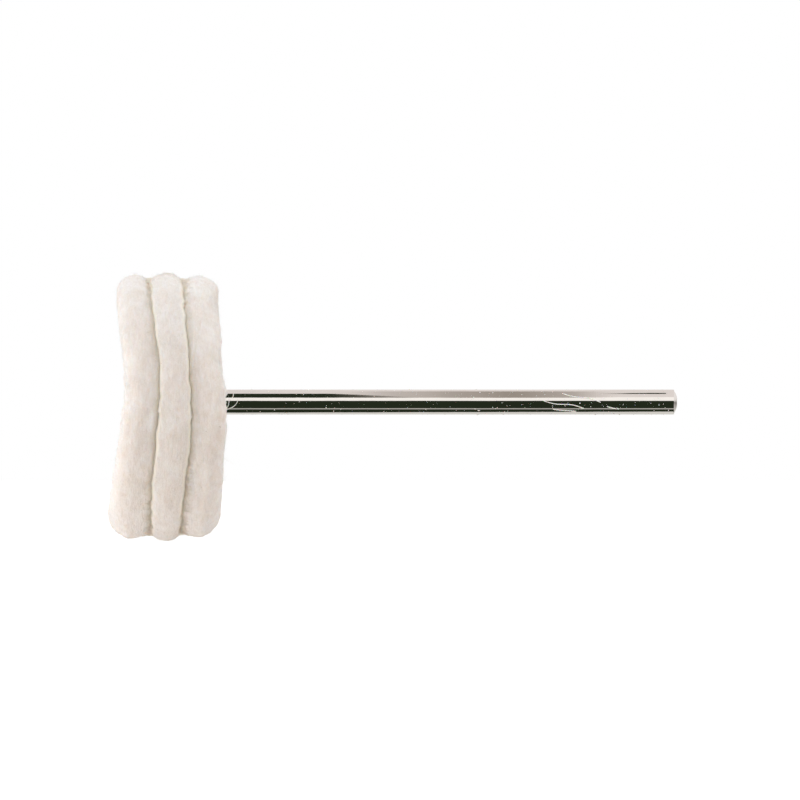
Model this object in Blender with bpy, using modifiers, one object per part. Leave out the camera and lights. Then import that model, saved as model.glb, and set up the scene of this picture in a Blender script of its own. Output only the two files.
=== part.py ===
"""Mounted felt polishing wheel: three felt discs clamped on a screw mandrel.

The shank's axis is world X. The origin is the centre of the shank's free end, which a
collet takes, so the whole wheel lies at negative X. Up is +Z. Metres throughout.

Turned parts are drawn about their own +Z, which the shank_axis empty lays along world +X.
"""
import math

import bmesh
import bpy
from mathutils import Matrix

MM = 0.001

# Mandrel
SHANK_RADIUS = 1.175 * MM
END_FLAT_RADIUS = 0.45 * MM
END_DOME_RADIUS = 1.8 * MM
END_EDGE_ROUND = 0.08 * MM
FLANGE_RADIUS = 2.5 * MM
FLANGE_THICKNESS = 0.8 * MM
FLANGE_FILLET = 0.3 * MM
FLANGE_CHAMFER = 0.12 * MM
TAPPED_RADIUS = 0.84 * MM
TAPPED_DEPTH = 4.6 * MM
DRILL_POINT = 0.45 * MM

# Clamp screw
SCREW_RADIUS = 0.78 * MM
SCREW_LENGTH = 10.0 * MM
SCREW_TIP_CHAMFER = 0.25 * MM
HEAD_RADIUS = 2.3 * MM
HEAD_HEIGHT = 0.9 * MM
HEAD_EDGE_ROUND = 0.35 * MM
SLOT_WIDTH = 0.65 * MM
SLOT_DEPTH = 0.4 * MM

# Washers
WASHER_RADIUS = 3.2 * MM
WASHER_HOLE_RADIUS = 0.95 * MM
WASHER_THICKNESS = 0.4 * MM
WASHER_CHAMFER = 0.08 * MM

# Felt discs
STACK_MIDDLE = -47.36 * MM
FELT_HOLE_RADIUS = 1.05 * MM
CLAMPED_PLY = 1.5 * MM
MIDDLE_PLY = 2.75 * MM
OUTER_PLY = 3.05 * MM
CLAMPED_REACH = 3.5 * MM
FULL_REACH = 9.0 * MM
RIM_ROUND_DEPTH = 1.3 * MM
FRONT_DISC_RADIUS = 12.4 * MM
MIDDLE_DISC_RADIUS = 12.6 * MM
REAR_DISC_RADIUS = 12.3 * MM
STACK_BOW = 0.75 * MM
OFF_CENTRE_DROP = 0.48 * MM
FRONT_SWELL = 0.6 * MM
SWELL_FULL_AT = 9.0 * MM

# Clearance between pieces that touch
GAP = 0.3 * MM

ROUND_STEPS = 48
FACE_STATIONS = 5
RIM_STEPS = 7
ARC_STEPS = 4
MERGE = 0.001 * MM
SHARP_ANGLE = math.radians(35)

# Where the clamped parts meet, along the shank, from the middle of the stack outwards
CLAMPED_HALF_STACK = 1.5 * CLAMPED_PLY + GAP
REAR_WASHER_FRONT = STACK_MIDDLE + CLAMPED_HALF_STACK + GAP
FLANGE_FRONT = REAR_WASHER_FRONT + WASHER_THICKNESS + GAP
FRONT_WASHER_REAR = STACK_MIDDLE - CLAMPED_HALF_STACK - GAP
FRONT_WASHER_FRONT = FRONT_WASHER_REAR - WASHER_THICKNESS
HEAD_SEAT = FRONT_WASHER_FRONT - GAP


def clear_scene():
    for old in list(bpy.data.objects):
        bpy.data.objects.remove(old, do_unlink=True)


def new_collection(name):
    made = bpy.data.collections.new(name)
    bpy.context.scene.collection.children.link(made)
    return made


def surface(name, colour, roughness, metallic):
    """A Principled BSDF material."""
    made = bpy.data.materials.new(name)
    made.use_nodes = True
    shader = made.node_tree.nodes["Principled BSDF"]
    shader.inputs["Base Color"].default_value = (*colour, 1.0)
    shader.inputs["Roughness"].default_value = roughness
    shader.inputs["Metallic"].default_value = metallic
    return made


def arc(centre, radii, start, end, steps):
    """Points (radius, height) on an ellipse's arc, with angles from the radial direction."""
    turn = [start + (end - start) * i / steps for i in range(steps + 1)]
    return [
        (centre[0] + radii[0] * math.cos(a), centre[1] + radii[1] * math.sin(a))
        for a in turn
    ]


def smooth(x):
    """0 below 0, 1 above 1, and an S-curve between."""
    x = min(max(x, 0.0), 1.0)
    return x * x * (3.0 - 2.0 * x)


def turned(name, profile, closed, parts, axis, material):
    """A solid of revolution about the shank's axis from (radius, place along it) points."""
    mesh = bpy.data.meshes.new(name)
    count = len(profile)
    edges = [(i, i + 1) for i in range(count - 1)]
    if closed:
        edges.append((count - 1, 0))
    mesh.from_pydata([(r, 0.0, along) for r, along in profile], edges, [])
    mesh.materials.append(material)
    piece = bpy.data.objects.new(name, mesh)
    parts.objects.link(piece)
    piece.parent = axis
    screw = piece.modifiers.new("turn", "SCREW")
    screw.axis = "Z"
    screw.angle = 2.0 * math.pi
    screw.steps = ROUND_STEPS
    screw.render_steps = ROUND_STEPS
    screw.use_merge_vertices = True
    screw.merge_threshold = MERGE
    screw.use_smooth_shade = True
    return piece


def as_mesh(piece):
    """Swaps a piece's modifiers for the mesh that they make."""
    graph = bpy.context.evaluated_depsgraph_get()
    made = bpy.data.meshes.new_from_object(piece.evaluated_get(graph))
    old = piece.data
    piece.modifiers.clear()
    piece.data = made
    bpy.data.meshes.remove(old)
    made.name = piece.name
    made.shade_smooth()
    made.set_sharp_from_angle(angle=SHARP_ANGLE)


def make_mandrel(parts, axis, material):
    """Plain shank with a domed free end, and a clamping flange with a tapped hole."""
    edge_radius = SHANK_RADIUS - END_EDGE_ROUND
    dome_start = math.asin(END_FLAT_RADIUS / END_DOME_RADIUS)
    dome_end = math.asin(edge_radius / END_DOME_RADIUS)
    dome_centre = -END_DOME_RADIUS * math.cos(dome_start)
    dome_foot = dome_centre + END_DOME_RADIUS * math.cos(dome_end)
    quarter = math.pi / 2.0
    dome = arc(
        (0.0, dome_centre), (END_DOME_RADIUS, END_DOME_RADIUS),
        quarter - dome_start, quarter - dome_end, ARC_STEPS,
    )
    flange_rear = FLANGE_FRONT + FLANGE_THICKNESS
    fillet = arc(
        (SHANK_RADIUS + FLANGE_FILLET, flange_rear + FLANGE_FILLET),
        (FLANGE_FILLET, FLANGE_FILLET), math.pi, 1.5 * math.pi, ARC_STEPS,
    )
    profile = [
        (0.0, 0.0),
        *dome,
        (SHANK_RADIUS, dome_foot - END_EDGE_ROUND),
        *fillet,
        (FLANGE_RADIUS - FLANGE_CHAMFER, flange_rear),
        (FLANGE_RADIUS, flange_rear - FLANGE_CHAMFER),
        (FLANGE_RADIUS, FLANGE_FRONT + FLANGE_CHAMFER),
        (FLANGE_RADIUS - FLANGE_CHAMFER, FLANGE_FRONT),
        (TAPPED_RADIUS, FLANGE_FRONT),
        (TAPPED_RADIUS, FLANGE_FRONT + TAPPED_DEPTH),
        (0.0, FLANGE_FRONT + TAPPED_DEPTH + DRILL_POINT),
    ]
    as_mesh(turned("mandrel", profile, False, parts, axis, material))


def make_washer(name, front, parts, axis, material):
    """Thin flat washer, whose front face is at the given place along the shank."""
    rear = front + WASHER_THICKNESS
    profile = [
        (WASHER_HOLE_RADIUS, rear),
        (WASHER_RADIUS - WASHER_CHAMFER, rear),
        (WASHER_RADIUS, rear - WASHER_CHAMFER),
        (WASHER_RADIUS, front + WASHER_CHAMFER),
        (WASHER_RADIUS - WASHER_CHAMFER, front),
        (WASHER_HOLE_RADIUS, front),
    ]
    as_mesh(turned(name, profile, True, parts, axis, material))


def make_clamp_screw(parts, cutters, axis, material):
    """Slotted screw whose head bears on the front washer. Its thread is left plain."""
    tip = HEAD_SEAT + SCREW_LENGTH
    top = HEAD_SEAT - HEAD_HEIGHT
    crown = arc(
        (HEAD_RADIUS - HEAD_EDGE_ROUND, top + HEAD_EDGE_ROUND),
        (HEAD_EDGE_ROUND, HEAD_EDGE_ROUND), 0.0, -math.pi / 2.0, ARC_STEPS,
    )
    profile = [
        (0.0, tip),
        (SCREW_RADIUS - SCREW_TIP_CHAMFER, tip),
        (SCREW_RADIUS, tip - SCREW_TIP_CHAMFER),
        (SCREW_RADIUS, HEAD_SEAT),
        (HEAD_RADIUS, HEAD_SEAT),
        *crown,
        (0.0, top),
    ]
    screw = turned("clamp_screw", profile, False, parts, axis, material)
    mesh = bpy.data.meshes.new("slot_cutter")
    shape = bmesh.new()
    size = (4.0 * HEAD_RADIUS, SLOT_WIDTH, 2.0 * SLOT_DEPTH)
    bmesh.ops.create_cube(shape, size=1.0, matrix=Matrix.Diagonal((*size, 1.0)))
    shape.to_mesh(mesh)
    shape.free()
    cutter = bpy.data.objects.new("slot_cutter", mesh)
    cutters.objects.link(cutter)
    cutter.parent = axis
    cutter.location = (0.0, 0.0, top)
    cutter.hide_render = True
    cutter.display_type = "WIRE"
    bpy.context.view_layer.update()
    slot = screw.modifiers.new("slot", "BOOLEAN")
    slot.operation = "DIFFERENCE"
    slot.solver = "EXACT"
    slot.object = cutter


def ply_faces(layer, radius):
    """The two faces of a felt disc at a radius: (front, rear) along the shank.

    layer is -1 for the front disc, 0 for the middle and 1 for the rear. The clamp pinches
    the discs at the hub, and they swell to their full thickness outside it.
    """
    swell = smooth((radius - CLAMPED_REACH) / (FULL_REACH - CLAMPED_REACH))
    middle = CLAMPED_PLY + (MIDDLE_PLY - CLAMPED_PLY) * swell
    if layer == 0:
        return STACK_MIDDLE - middle / 2.0, STACK_MIDDLE + middle / 2.0
    outer = CLAMPED_PLY + (OUTER_PLY - CLAMPED_PLY) * swell
    near = STACK_MIDDLE + layer * (middle / 2.0 + GAP)
    far = near + layer * outer
    return min(near, far), max(near, far)


def ply_profile(layer, radius):
    """Bore, rear face out to the rim, the rounded rim, then the front face back in."""
    flat_end = radius - RIM_ROUND_DEPTH
    reach = [
        CLAMPED_REACH + (flat_end - CLAMPED_REACH) * i / FACE_STATIONS
        for i in range(FACE_STATIONS)
    ]
    stations = [FELT_HOLE_RADIUS, *reach]
    front, rear = ply_faces(layer, flat_end)
    rim = arc(
        (flat_end, (front + rear) / 2.0), (RIM_ROUND_DEPTH, (rear - front) / 2.0),
        math.pi / 2.0, -math.pi / 2.0, RIM_STEPS,
    )
    rear_face = [(r, ply_faces(layer, r)[1]) for r in stations]
    front_face = [(r, ply_faces(layer, r)[0]) for r in reversed(stations)]
    return [*rear_face, *rim, *front_face]


def settle_felt(mesh, layer):
    """Bows a turned disc, drops its rim off centre, and swells the front disc low down.

    In the mesh's own axes, z is along the shank and -x is up.
    """
    front_mid = sum(ply_faces(-1, FULL_REACH)) / 2.0
    for vertex in mesh.vertices:
        x, y, z = vertex.co
        out = math.hypot(x, y)
        up = -x
        along = z - STACK_BOW * (up / MIDDLE_DISC_RADIUS) ** 2
        if layer == -1 and z < front_mid:
            along -= FRONT_SWELL * smooth(-up / SWELL_FULL_AT)
        drop = OFF_CENTRE_DROP * smooth(
            (out - CLAMPED_REACH) / (FULL_REACH - CLAMPED_REACH)
        )
        vertex.co = (x + drop, y, along)


def make_felt_disc(name, layer, radius, parts, axis, material):
    disc = turned(name, ply_profile(layer, radius), True, parts, axis, material)
    as_mesh(disc)
    settle_felt(disc.data, layer)


def main():
    clear_scene()
    parts = new_collection("felt_polishing_wheel")
    cutters = new_collection("cutters")
    axis = bpy.data.objects.new("shank_axis", None)
    axis.empty_display_size = 5.0 * MM
    axis.rotation_euler = (0.0, math.pi / 2.0, 0.0)
    parts.objects.link(axis)

    plated = surface("plated_steel", (0.74, 0.72, 0.70), 0.14, 1.0)
    washer_steel = surface("washer_steel", (0.66, 0.65, 0.63), 0.28, 1.0)
    screw_steel = surface("screw_steel", (0.70, 0.69, 0.67), 0.22, 1.0)
    felt = surface("white_wool_felt", (0.83, 0.79, 0.74), 0.95, 0.0)

    make_mandrel(parts, axis, plated)
    make_washer("rear_washer", REAR_WASHER_FRONT, parts, axis, washer_steel)
    make_felt_disc("felt_disc_rear", 1, REAR_DISC_RADIUS, parts, axis, felt)
    make_felt_disc("felt_disc_middle", 0, MIDDLE_DISC_RADIUS, parts, axis, felt)
    make_felt_disc("felt_disc_front", -1, FRONT_DISC_RADIUS, parts, axis, felt)
    make_washer("front_washer", FRONT_WASHER_FRONT, parts, axis, washer_steel)
    make_clamp_screw(parts, cutters, axis, screw_steel)


main()
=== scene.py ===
"""Looks of the mounted felt polishing wheel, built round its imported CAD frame.

World +X runs along the shank to its free end, +Z is up, and the camera looks along +Y.
Lengths are in metres, and MM turns millimetres into metres.
"""
import math

import bmesh
import bpy
import numpy as np
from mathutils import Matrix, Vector, noise


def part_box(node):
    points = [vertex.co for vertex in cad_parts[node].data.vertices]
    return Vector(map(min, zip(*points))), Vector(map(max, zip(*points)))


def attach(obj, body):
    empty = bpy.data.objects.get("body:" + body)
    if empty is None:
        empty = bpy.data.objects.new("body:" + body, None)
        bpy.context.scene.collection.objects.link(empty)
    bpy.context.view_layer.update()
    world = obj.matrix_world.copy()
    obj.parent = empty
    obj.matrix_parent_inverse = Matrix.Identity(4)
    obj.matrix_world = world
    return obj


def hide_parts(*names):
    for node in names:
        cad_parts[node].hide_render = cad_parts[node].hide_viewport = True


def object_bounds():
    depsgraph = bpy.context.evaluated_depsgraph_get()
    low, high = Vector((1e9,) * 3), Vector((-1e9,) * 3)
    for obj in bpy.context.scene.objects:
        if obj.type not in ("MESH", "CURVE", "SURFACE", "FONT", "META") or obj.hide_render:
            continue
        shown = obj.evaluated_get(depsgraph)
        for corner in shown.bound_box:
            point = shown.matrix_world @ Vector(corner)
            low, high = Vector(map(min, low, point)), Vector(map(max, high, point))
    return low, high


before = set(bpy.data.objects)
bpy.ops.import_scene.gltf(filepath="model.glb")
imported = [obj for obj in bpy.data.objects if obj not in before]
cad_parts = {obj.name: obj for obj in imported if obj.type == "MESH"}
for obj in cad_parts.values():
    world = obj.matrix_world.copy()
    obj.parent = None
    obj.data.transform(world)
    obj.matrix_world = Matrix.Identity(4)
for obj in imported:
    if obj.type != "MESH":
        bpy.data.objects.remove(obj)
CAD_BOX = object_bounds()

MM = 0.001

# Bodies the pieces ride on
FIXED_BODY = "mandrel_and_felt"
WASHER_BODY = "washer"
SCREW_BODY = "screw"

# Camera: a long lens, square to the shank
FRAME_WIDTH = 75.3 * MM
VIEW_CENTRE_X = -26.07 * MM
VIEW_CENTRE_Z = 0.19 * MM
CAMERA_DISTANCE = 1.0
SENSOR_WIDTH = 36.0
FLOOR_DROP = 25.0 * MM

# Shank and mandrel
SHANK_RADIUS = 1.175 * MM
END_FLAT_RADIUS = 0.45 * MM
END_DOME_RADIUS = 1.8 * MM
END_EDGE_ROUND = 0.08 * MM
FLANGE_THICKNESS = 0.8 * MM
FLANGE_FILLET = 0.3 * MM
FLANGE_ROUND = 0.12 * MM
TAPPED_RADIUS = 0.84 * MM
TAPPED_DEPTH = 4.6 * MM
DRILL_POINT = 0.45 * MM

# Screw and washers
SCREW_RADIUS = 0.78 * MM
THREAD_DEPTH = 0.14 * MM
THREAD_PITCH = 0.35 * MM
THREAD_START = 0.6 * MM
SLOT_WIDTH = 0.65 * MM
SLOT_DEPTH = 0.42 * MM
HEAD_HEIGHT = 0.9 * MM
HEAD_ROUND = 0.35 * MM
HEAD_EASE = 0.06 * MM
HEAD_OVERLAP = 0.02 * MM
TIP_TAPER = 0.2 * MM
HEAD_WEAR = 0.12 * MM
WASHER_HOLE_RADIUS = 0.95 * MM
WASHER_ROUND = 0.13 * MM
WASHER_EASE = 0.05 * MM

# Felt
FRONT_PLY = 3.30 * MM
MIDDLE_PLY = 2.92 * MM
CONTACT_GAP = 0.02 * MM
BORE_RADIUS = 0.95 * MM
CLAMPED_REACH = 3.3 * MM
FULL_REACH = 8.6 * MM
OPEN_RIM = (1.4 * MM, math.radians(90))
TOUCHING_RIM = (0.40 * MM, math.radians(60))
GROOVE_DEPTH = 0.07 * MM
GROOVE_HALF = 0.20 * MM
GROOVE_SHADE = 0.38 * MM
LOWER_EDGE_EXTRA = 0.7
TOP_AND_BOTTOM_EXTRA = 0.9
RIM_DROP = 0.46 * MM
DISC_RADII = (12.38 * MM, 12.58 * MM, 12.30 * MM)
DISC_TURN = 0.36 * MM
AROUND = 480
FACE_STEPS = 44
RIM_STEPS = 26
BORE_STEPS = 4

# How each face of the stack bows, front to rear: the height of its crest, then how far the
# rim leans forward above it and over what height, and the same below it
BOWS = (
    (2.5 * MM, (0.73 * MM, 8.0 * MM), (1.58 * MM, 14.0 * MM)),
    (2.5 * MM, (0.90 * MM, 10.0 * MM), (0.78 * MM, 12.0 * MM)),
    (-1.3 * MM, (0.80 * MM, 16.0 * MM), (0.90 * MM, 10.5 * MM)),
    (-1.3 * MM, (0.78 * MM, 13.5 * MM), (0.66 * MM, 12.0 * MM)),
)
# Shallow dents in the rear face's near edge: height, depth, half height
REAR_DENTS = (
    (9.4 * MM, 0.42 * MM, 1.3 * MM),
    (4.2 * MM, 0.50 * MM, 1.4 * MM),
    (-5.2 * MM, 0.16 * MM, 2.0 * MM),
    (-11.0 * MM, 0.30 * MM, 1.6 * MM),
)
GROOVE_WOBBLE = 0.05 * MM
REAR_GROOVE_SHIFT = 0.15 * MM
REAR_BULGE = 0.26 * MM
COARSE_LUMP = 0.08 * MM
FINE_LUMP = 0.05 * MM

# Loose wool: fuzz on each disc, fibres across each groove, and what lies on the shank
FUZZ_COUNT = 8000
FUZZ_LENGTH = 0.32 * MM
FUZZ_RADIUS = 0.010 * MM
MATTED_COUNT = 1800
MATTED_RADIUS = 0.012 * MM
WISP_RADIUS = 0.034 * MM
WISP_LIFT = 0.04 * MM
DUST_COUNT = 900
DUST_LENGTH_MM = 0.045
DUST_LIFT = 0.012 * MM
DUST_STRETCH = (-42.0 * MM, -0.8 * MM)

# Cloth pass: the felt swells on a copy of this size, held at the hub and against its neighbour
CLOTH_SCALE = 40.0
CLOTH_GRID = (48, 120)
CLOTH_FRAMES = 20
CLOTH_CAP = 0.13 * MM
CLOTH_STIFFNESS = 40.0
CLOTH_PRESSURE = 4.0


# ---------------------------------------------------------------- mesh helpers

def smooth_step(x):
    x = np.clip(x, 0.0, 1.0)
    return x * x * (3.0 - 2.0 * x)


def add_object(name, mesh, material, body, nodes=()):
    """Links a finished piece, puts it on the body it rides on, and hides the CAD parts it takes
    the place of.
    """
    piece = bpy.data.objects.new(name, mesh)
    bpy.context.scene.collection.objects.link(piece)
    mesh.materials.clear()
    mesh.materials.append(material)
    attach(piece, body)
    if nodes:
        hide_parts(*nodes)
    return piece


def grid_mesh(name, points, sharp_angle=None):
    """A closed-loop grid of points (rings, around, 3), wrapped both ways."""
    rings, around = points.shape[:2]
    index = np.arange(rings * around).reshape(rings, around)
    right = np.roll(index, -1, axis=1)
    below = np.roll(index, -1, axis=0)
    corner = np.roll(right, -1, axis=0)
    faces = np.stack([index, below, corner, right], axis=-1).reshape(-1, 4)
    mesh = bpy.data.meshes.new(name)
    mesh.from_pydata(points.reshape(-1, 3).tolist(), [], faces.tolist())
    mesh.shade_smooth()
    if sharp_angle is not None:
        mesh.set_sharp_from_angle(angle=sharp_angle)
    return mesh


def lathe(name, profile, around, sharp_angle=math.radians(32)):
    """Turns (place along X, radius) points about the X axis. Points at radius 0 are poles."""
    shape = bmesh.new()
    rings = []
    for along, radius in profile:
        if radius == 0.0:
            rings.append([shape.verts.new((along, 0.0, 0.0))])
            continue
        turn = [2.0 * math.pi * k / around for k in range(around)]
        rings.append([
            shape.verts.new((along, -radius * math.cos(a), radius * math.sin(a)))
            for a in turn
        ])
    pairs = list(zip(rings, rings[1:]))
    if profile[0][1] > 0.0:
        pairs.append((rings[-1], rings[0]))
    for one, two in pairs:
        for k in range(around):
            after = (k + 1) % around
            if len(one) == 1:
                shape.faces.new((one[0], two[k], two[after]))
            elif len(two) == 1:
                shape.faces.new((one[k], two[0], one[after]))
            else:
                shape.faces.new((one[k], two[k], two[after], one[after]))
    bmesh.ops.recalc_face_normals(shape, faces=shape.faces)
    mesh = bpy.data.meshes.new(name)
    shape.to_mesh(mesh)
    shape.free()
    mesh.shade_smooth()
    mesh.set_sharp_from_angle(angle=sharp_angle)
    return mesh


def arc(centre, radii, start, end, steps):
    """(along, radius) points on an ellipse's arc, with angles from the +X direction."""
    turn = [start + (end - start) * i / steps for i in range(steps + 1)]
    return [
        (centre[0] + radii[0] * math.cos(a), centre[1] + radii[1] * math.sin(a))
        for a in turn
    ]


def between(start, end, steps):
    """Evenly spaced (along, radius) points inside a straight stretch."""
    return [
        tuple(a + (b - a) * i / steps for a, b in zip(start, end))
        for i in range(1, steps)
    ]


def fibre_mesh(name, paths, radii, sides=3):
    """Thin closed tubes along paths (fibres, points, 3) with radii (fibres, points)."""
    count, points = paths.shape[:2]
    along = paths[:, -1] - paths[:, 0]
    along /= np.linalg.norm(along, axis=1, keepdims=True)
    helper = np.where(np.abs(along[:, :1]) < 0.7, [[1.0, 0.0, 0.0]], [[0.0, 1.0, 0.0]])
    across = np.cross(along, helper)
    across /= np.linalg.norm(across, axis=1, keepdims=True)
    third = np.cross(along, across)
    turn = 2.0 * np.pi * np.arange(sides) / sides
    ring = (
        across[:, None, None] * np.cos(turn)[None, None, :, None]
        + third[:, None, None] * np.sin(turn)[None, None, :, None]
    )
    verts = paths[:, :, None] + ring * radii[:, :, None, None]
    index = np.arange(count * points * sides).reshape(count, points, sides)
    turned = np.roll(index, -1, axis=2)
    walls = np.stack(
        [index[:, :-1], turned[:, :-1], turned[:, 1:], index[:, 1:]], axis=-1
    ).reshape(-1, 4)
    roots = index[:, 0, ::-1].reshape(-1, sides)
    tips = index[:, -1].reshape(-1, sides)
    mesh = bpy.data.meshes.new(name)
    mesh.from_pydata(
        verts.reshape(-1, 3).tolist(), [],
        walls.tolist() + roots.tolist() + tips.tolist(),
    )
    mesh.shade_smooth()
    return mesh


# ---------------------------------------------------------------- materials

class Nodes:
    """A material's node tree, with short ways to add and join nodes."""

    def __init__(self, name):
        self.material = bpy.data.materials.new(name)
        self.material.use_nodes = True
        self.tree = self.material.node_tree
        self.shader = self.tree.nodes["Principled BSDF"]
        self.place = self.tree.nodes.new("ShaderNodeTexCoord").outputs["Object"]

    def add(self, kind, **settings):
        made = self.tree.nodes.new(kind)
        for key, value in settings.items():
            setattr(made, key, value)
        return made

    def join(self, source, target):
        self.tree.links.new(source, target)

    def stretched(self, scale):
        made = self.add("ShaderNodeMapping")
        made.inputs["Scale"].default_value = scale
        self.join(self.place, made.inputs["Vector"])
        return made.outputs["Vector"]

    def noise(self, feature, detail=3.0, rough=0.55, stretch=None, warp=0.0):
        made = self.add("ShaderNodeTexNoise")
        made.inputs["Scale"].default_value = 1.0 / feature
        made.inputs["Detail"].default_value = detail
        made.inputs["Roughness"].default_value = rough
        made.inputs["Distortion"].default_value = warp
        source = self.stretched(stretch) if stretch else self.place
        self.join(source, made.inputs["Vector"])
        return made.outputs["Fac"]

    def ramp(self, source, *stops):
        """Maps a value to colours by (position, colour) stops."""
        made = self.add("ShaderNodeValToRGB")
        elements = made.color_ramp.elements
        while len(elements) < len(stops):
            elements.new(0.5)
        for element, (position, colour) in zip(elements, stops):
            element.position = position
            element.color = (*colour, 1.0)
        self.join(source, made.inputs["Fac"])
        return made.outputs["Color"]

    def remap(self, source, low, high, to_low, to_high):
        made = self.add("ShaderNodeMapRange")
        for key, value in (
            ("From Min", low), ("From Max", high), ("To Min", to_low), ("To Max", to_high),
        ):
            made.inputs[key].default_value = value
        self.join(source, made.inputs["Value"])
        return made.outputs["Result"]

    def mix(self, factor, one, two, blend="MIX"):
        made = self.add("ShaderNodeMix", data_type="RGBA", blend_type=blend)
        for socket, value in ((0, factor), (6, one), (7, two)):
            if isinstance(value, bpy.types.NodeSocket):
                self.join(value, made.inputs[socket])
            elif socket == 0:
                made.inputs[socket].default_value = value
            else:
                made.inputs[socket].default_value = (*value, 1.0)
        return made.outputs[2]

    def maths(self, operation, one, two):
        made = self.add("ShaderNodeMath", operation=operation)
        for socket, value in ((0, one), (1, two)):
            if isinstance(value, bpy.types.NodeSocket):
                self.join(value, made.inputs[socket])
            else:
                made.inputs[socket].default_value = value
        return made.outputs[0]

    def bump(self, height, distance, strength=1.0, below=None):
        made = self.add("ShaderNodeBump")
        made.inputs["Distance"].default_value = distance
        made.inputs["Strength"].default_value = strength
        self.join(height, made.inputs["Height"])
        if below is not None:
            self.join(below, made.inputs["Normal"])
        return made.outputs["Normal"]

    def set(self, **values):
        """Puts plain values on the shader's own sockets."""
        for key, value in values.items():
            self.shader.inputs[key.replace("_", " ")].default_value = value


def felt_material():
    """Undyed pressed wool: cream mottling, matted crossing fibres, and painted tan shade down in
    the grooves.
    """
    n = Nodes("pressed_wool_felt")
    cloud = n.noise(2.2 * MM, 4.0, 0.62, warp=0.3)
    clot = n.noise(0.75 * MM, 4.0, 0.6, stretch=(1.5, 0.8, 0.8), warp=0.4)
    streak = n.noise(0.5 * MM, 3.0, 0.65, stretch=(3.4, 0.55, 0.55), warp=0.6)
    lying = n.noise(0.11 * MM, 3.0, 0.65, stretch=(1.0, 0.22, 1.0), warp=0.9)
    standing = n.noise(0.11 * MM, 3.0, 0.65, stretch=(1.0, 1.0, 0.22), warp=0.9)
    mat = n.maths("MAXIMUM", lying, standing)
    base = n.ramp(cloud, (0.34, (0.860, 0.816, 0.785)), (0.64, (0.905, 0.885, 0.875)))
    shade = n.ramp(clot, (0.30, (0.915, 0.89, 0.862)), (0.66, (1.0, 1.0, 1.0)))
    colour = n.mix(0.8, base, shade, "MULTIPLY")
    lines = n.ramp(streak, (0.30, (0.92, 0.90, 0.875)), (0.60, (1.0, 1.0, 1.0)))
    colour = n.mix(0.7, colour, lines, "MULTIPLY")
    fibres = n.ramp(mat, (0.42, (0.91, 0.885, 0.86)), (0.66, (1.0, 1.0, 1.0)))
    colour = n.mix(0.8, colour, fibres, "MULTIPLY")
    # Painted shade: the felt is tinted tan down in the grooves between plies, where shade falls.
    painted_groove_shade = n.add("ShaderNodeAttribute", attribute_name="painted_groove_shade").outputs["Fac"]
    colour = n.mix(painted_groove_shade, colour, (0.95, 0.87, 0.75), "MIX")
    fleck = n.noise(0.22 * MM, 1.0, 0.4)
    flecks = n.remap(fleck, 0.775, 0.80, 0.0, 0.55)
    colour = n.mix(flecks, colour, (0.33, 0.25, 0.19), "MIX")
    n.join(colour, n.shader.inputs["Base Color"])
    n.join(n.remap(clot, 0.3, 0.7, 0.86, 0.98), n.shader.inputs["Roughness"])
    n.set(Sheen_Weight=0.08, Sheen_Roughness=0.55, Specular_IOR_Level=0.18)
    n.set(Subsurface_Weight=0.7, Subsurface_Scale=0.9 * MM)
    n.shader.inputs["Subsurface Radius"].default_value = (1.0, 0.78, 0.6)
    coarse = n.bump(n.maths("ADD", clot, streak), 0.11 * MM)
    n.join(n.bump(mat, 0.06 * MM, 1.0, coarse), n.shader.inputs["Normal"])
    return n.material


def fibre_material(name, light, dark):
    """Loose wool fibres: thin, pale, slightly translucent."""
    n = Nodes(name)
    tone = n.noise(1.1 * MM, 2.0, 0.5)
    n.join(n.ramp(tone, (0.35, dark), (0.65, light)), n.shader.inputs["Base Color"])
    n.join(n.remap(tone, 0.3, 0.7, 0.55, 0.75), n.shader.inputs["Roughness"])
    n.set(Sheen_Weight=0.1, Specular_IOR_Level=0.3, Subsurface_Weight=0.2)
    n.set(Subsurface_Scale=0.2 * MM)
    return n.material


def metal_material(name, light, dark, rough, scratch, ring):
    """Plated steel with rubbed patches, turning rings and fine scratches along X, and painted
    shade, near black, where a mesh has it as an attribute."""
    n = Nodes(name)
    patch = n.noise(2.6 * MM, 3.0, 0.6)
    clean = n.ramp(patch, (0.35, dark), (0.65, light))
    # Painted shade: where the mesh attribute is set, the colour turns near black.
    painted_slot_shade = n.add("ShaderNodeAttribute", attribute_name="painted_slot_shade").outputs["Fac"]
    n.join(n.mix(painted_slot_shade, clean, (0.16, 0.145, 0.125)), n.shader.inputs["Base Color"])
    rub = n.noise(0.35 * MM, 3.0, 0.6, stretch=(0.25, 1.0, 1.0))
    n.join(n.remap(rub, 0.3, 0.75, rough[0], rough[1]), n.shader.inputs["Roughness"])
    n.set(Metallic=1.0)
    rings = n.noise(0.09 * MM, 2.0, 0.5, stretch=(1.0, 0.04, 0.04))
    marks = n.noise(0.11 * MM, 3.0, 0.7, stretch=(0.03, 1.0, 1.0))
    cut = n.bump(rings, ring)
    n.join(n.bump(marks, scratch, 1.0, cut), n.shader.inputs["Normal"])
    return n.material


# ---------------------------------------------------------------- studio

# Light and dark seen in the plating, by the angle round the shank: (end angle, colour).
# -180 is behind the wheel, -90 below, 0 towards the camera, 90 above.
DARK = (0.020, 0.027, 0.015)
BANDS = (
    (-119.0, (0.74, 0.73, 0.69)),
    (-71.0, DARK),
    (-60.5, (0.50, 0.48, 0.45)),
    (11.5, DARK),
    (46.0, (1.08, 1.04, 1.00)),
    (180.0, (0.84, 0.78, 0.75)),
)
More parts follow.
